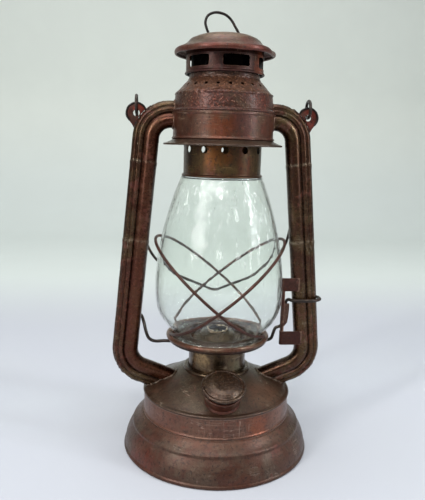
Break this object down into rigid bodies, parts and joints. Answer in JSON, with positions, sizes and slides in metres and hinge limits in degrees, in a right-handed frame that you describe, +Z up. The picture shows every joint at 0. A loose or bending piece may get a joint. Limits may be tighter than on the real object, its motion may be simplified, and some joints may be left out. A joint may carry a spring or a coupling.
{
  "type": "barn lantern",
  "caption": "Tubular kerosene barn lantern with side air tubes, a glass globe in crossed guard wires, a wire bail and a screw filler cap.",
  "frame": {"origin": "centre of the base, on the ground", "axes": "+Z up; the side tubes lie in the XZ plane with the lift bracket on +X; the filler cap faces -Y and the bail hangs on +Y"},
  "size_m": [0.18, 0.16, 0.3631],
  "materials": {
    "tank_steel": "rusted, worn",
    "tube_steel": "rusted, worn",
    "chamber_steel": "rusted, worn",
    "chimney_metal": "tarnished",
    "cap_steel": "tarnished",
    "collar_metal": "worn",
    "burner_metal": "dull",
    "bracket_steel": "rusted",
    "wire_steel": "dark, rusted",
    "glass": "clear, slightly green",
    "wick_cotton": "woven",
    "gasket_cork": "cork"
  },
  "bodies": {
    "frame": {"tank_base": "tank_steel", "tank_bottom": "tank_steel", "tank_band": "tank_steel", "tank_top": "tank_steel", "burner_flange": "collar_metal", "burner_collar": "collar_metal", "filler_neck": "tank_steel", "tube_left_upper": "tube_steel", "tube_left_middle": "tube_steel", "tube_left_lower": "tube_steel", "tube_right_upper": "tube_steel", "tube_right_middle": "tube_steel", "tube_right_lower": "tube_steel", "ear_left": "tube_steel", "ear_right": "tube_steel", "chamber_floor": "chamber_steel", "chamber_band": "chamber_steel", "chamber_top": "chamber_steel", "lift_bracket": "bracket_steel", "burner_base": "burner_metal", "wick_tube": "burner_metal", "burner_dome": "burner_metal"},
    "globe_carriage": {"globe_plate": "tank_steel", "globe": "glass", "guard_wire_left": "wire_steel", "guard_wire_right": "wire_steel", "lift_wire": "wire_steel"},
    "chimney": {"chimney_tube": "chimney_metal", "inner_flue": "cap_steel", "cap_band": "cap_steel", "cap_top": "cap_steel", "cap_loop": "wire_steel"},
    "bail": {"bail": "wire_steel"},
    "filler_seal": {"filler_gasket": "gasket_cork"},
    "filler_cap": {"filler_cap": "tank_steel"},
    "winder": {"wick_spindle": "burner_metal", "wick_wheels": "burner_metal", "wick_knob": "collar_metal"},
    "wick": {"wick": "wick_cotton"}
  },
  "joints": [
    {"name": "globe_lift", "type": "slide", "parent": "frame", "child": "globe_carriage", "axis": [0, 0, 1], "range_m": [0, 0.006]},
    {"name": "chimney_lift", "type": "slide", "parent": "globe_carriage", "child": "chimney", "axis": [0, 0, 1], "range_m": [0, 0.019]},
    {"name": "bail_swing", "type": "hinge", "parent": "frame", "child": "bail", "pos_m": [0, 0, 0.29], "axis": [1, 0, 0], "range_deg": [0, 273]},
    {"name": "filler_rise", "type": "slide", "parent": "frame", "child": "filler_seal", "axis": [0, -0.3795, 0.9252], "range_m": [0, 0.0061]},
    {"name": "filler_turn", "type": "hinge", "parent": "filler_seal", "child": "filler_cap", "pos_m": [0, -0.0475, 0.0591], "axis": [0, -0.3795, 0.9252], "range_deg": [0, 720]},
    {"name": "wick_wind", "type": "hinge", "parent": "frame", "child": "winder", "pos_m": [0.005, 0, 0.082], "axis": [0, 1, 0], "range_deg": [-60, 120]},
    {"name": "wick_feed", "type": "slide", "parent": "frame", "child": "wick", "axis": [0, 0, 1], "range_m": [-0.0043, 0.0085]}
  ],
  "couplings": [
    {"joint": "filler_rise", "follows": "filler_turn", "m_per_rad": 0.00047746},
    {"joint": "wick_feed", "follows": "wick_wind", "m_per_rad": 0.004}
  ]
}
